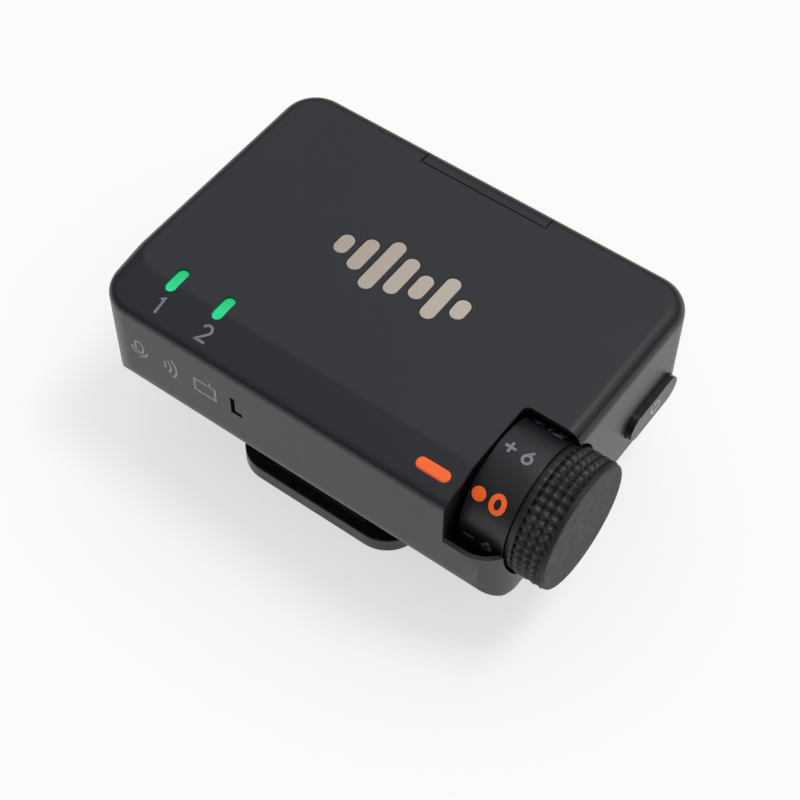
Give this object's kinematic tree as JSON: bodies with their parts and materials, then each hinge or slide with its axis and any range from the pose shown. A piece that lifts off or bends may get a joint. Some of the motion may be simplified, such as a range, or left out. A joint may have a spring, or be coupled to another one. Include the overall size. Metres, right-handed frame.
{
  "type": "wireless receiver unit",
  "caption": "Pocket wireless microphone receiver: rounded box with bevelled front, knurled side gain dial, end sockets, power button, rear port cover and spring clip.",
  "frame": {"origin": "centre of the overall box, on the plane that the clip's outer face rests on", "axes": "+X towards the gain dial, along the longest side; -Y towards the bevelled front with the lights; +Z out of the top with the emblem"},
  "size_m": [0.0446, 0.0296, 0.0193],
  "materials": {
    "shell": "fine matte soft-touch",
    "dial_numbers": "smooth satin",
    "dial_knurl": "matte diamond knurl",
    "dial_face": "fine sandy matte",
    "button": "satin",
    "light": "clear green light guide",
    "smoked_lens": "polished",
    "orange": "glossy orange",
    "champagne": "fine satin",
    "steel": "plain",
    "screw": "black oxide",
    "brass": "plain",
    "gold": "gold flash",
    "inner_plastic": "moulded",
    "board": "solder mask",
    "ceramic": "ceramic and clear resin",
    "foil": "dull foil",
    "foam": "foam tape",
    "clip": "semi-gloss",
    "grip_pad": "matte"
  },
  "bodies": {
    "housing": {"upper_housing": "shell", "lower_housing": "shell", "light_pipe_1": "light", "light_pipe_2": "light", "status_lens": "smoked_lens", "index_mark": "orange", "emblem": "champagne", "clip_pin": "steel", "usb_shell": "steel", "radio_shield": "steel", "battery_tabs": "steel", "case_screws": "screw", "board_screws": "screw", "bracket_screws": "screw", "dial_bushing": "brass", "audio_contacts": "gold", "charge_contacts": "gold", "encoder": "inner_plastic", "expansion_connector": "inner_plastic", "usb_tongue": "inner_plastic", "audio_socket": "inner_plastic", "power_switch": "inner_plastic", "link_switch": "inner_plastic", "board_chips": "inner_plastic", "main_board": "board", "antenna": "ceramic", "indicator_lights": "ceramic", "battery": "foil", "battery_pad": "foam", "clip_bracket": "clip"},
    "dial": {"dial_barrel": "dial_numbers", "dial_grip": "dial_knurl", "dial_cap": "dial_face", "dial_shaft": "steel"},
    "power_button": {"power_button": "button"},
    "link_button": {"link_button": "button"},
    "port_cover": {"port_cover": "shell"},
    "clip": {"clip_plate": "clip", "clip_pads": "grip_pad", "clip_spring": "steel"}
  },
  "joints": [
    {"name": "dial_turn", "type": "hinge", "parent": "housing", "child": "dial", "pos_m": [0, -0.00715, 0.0134], "axis": [1, 0, 0], "range_deg": [-90, 90]},
    {"name": "power_press", "type": "slide", "parent": "housing", "child": "power_button", "axis": [-1, 0, 0], "range_m": [0, 0.0003], "stiffness_N_per_m": 1500, "springref_m": -0.0004},
    {"name": "link_press", "type": "slide", "parent": "housing", "child": "link_button", "axis": [0, -1, 0], "range_m": [0, 0.0003], "stiffness_N_per_m": 1500, "springref_m": -0.0004},
    {"name": "cover_pull", "type": "slide", "parent": "housing", "child": "port_cover", "axis": [0, 1, 0], "range_m": [0, 0.006]},
    {"name": "clip_open", "type": "hinge", "parent": "housing", "child": "clip", "pos_m": [-0.0015, 0.0075, 0.0039], "axis": [1, 0, 0], "range_deg": [0, 25], "stiffness_Nm_per_rad": 0.02, "springref_deg": -28.65}
  ]
}
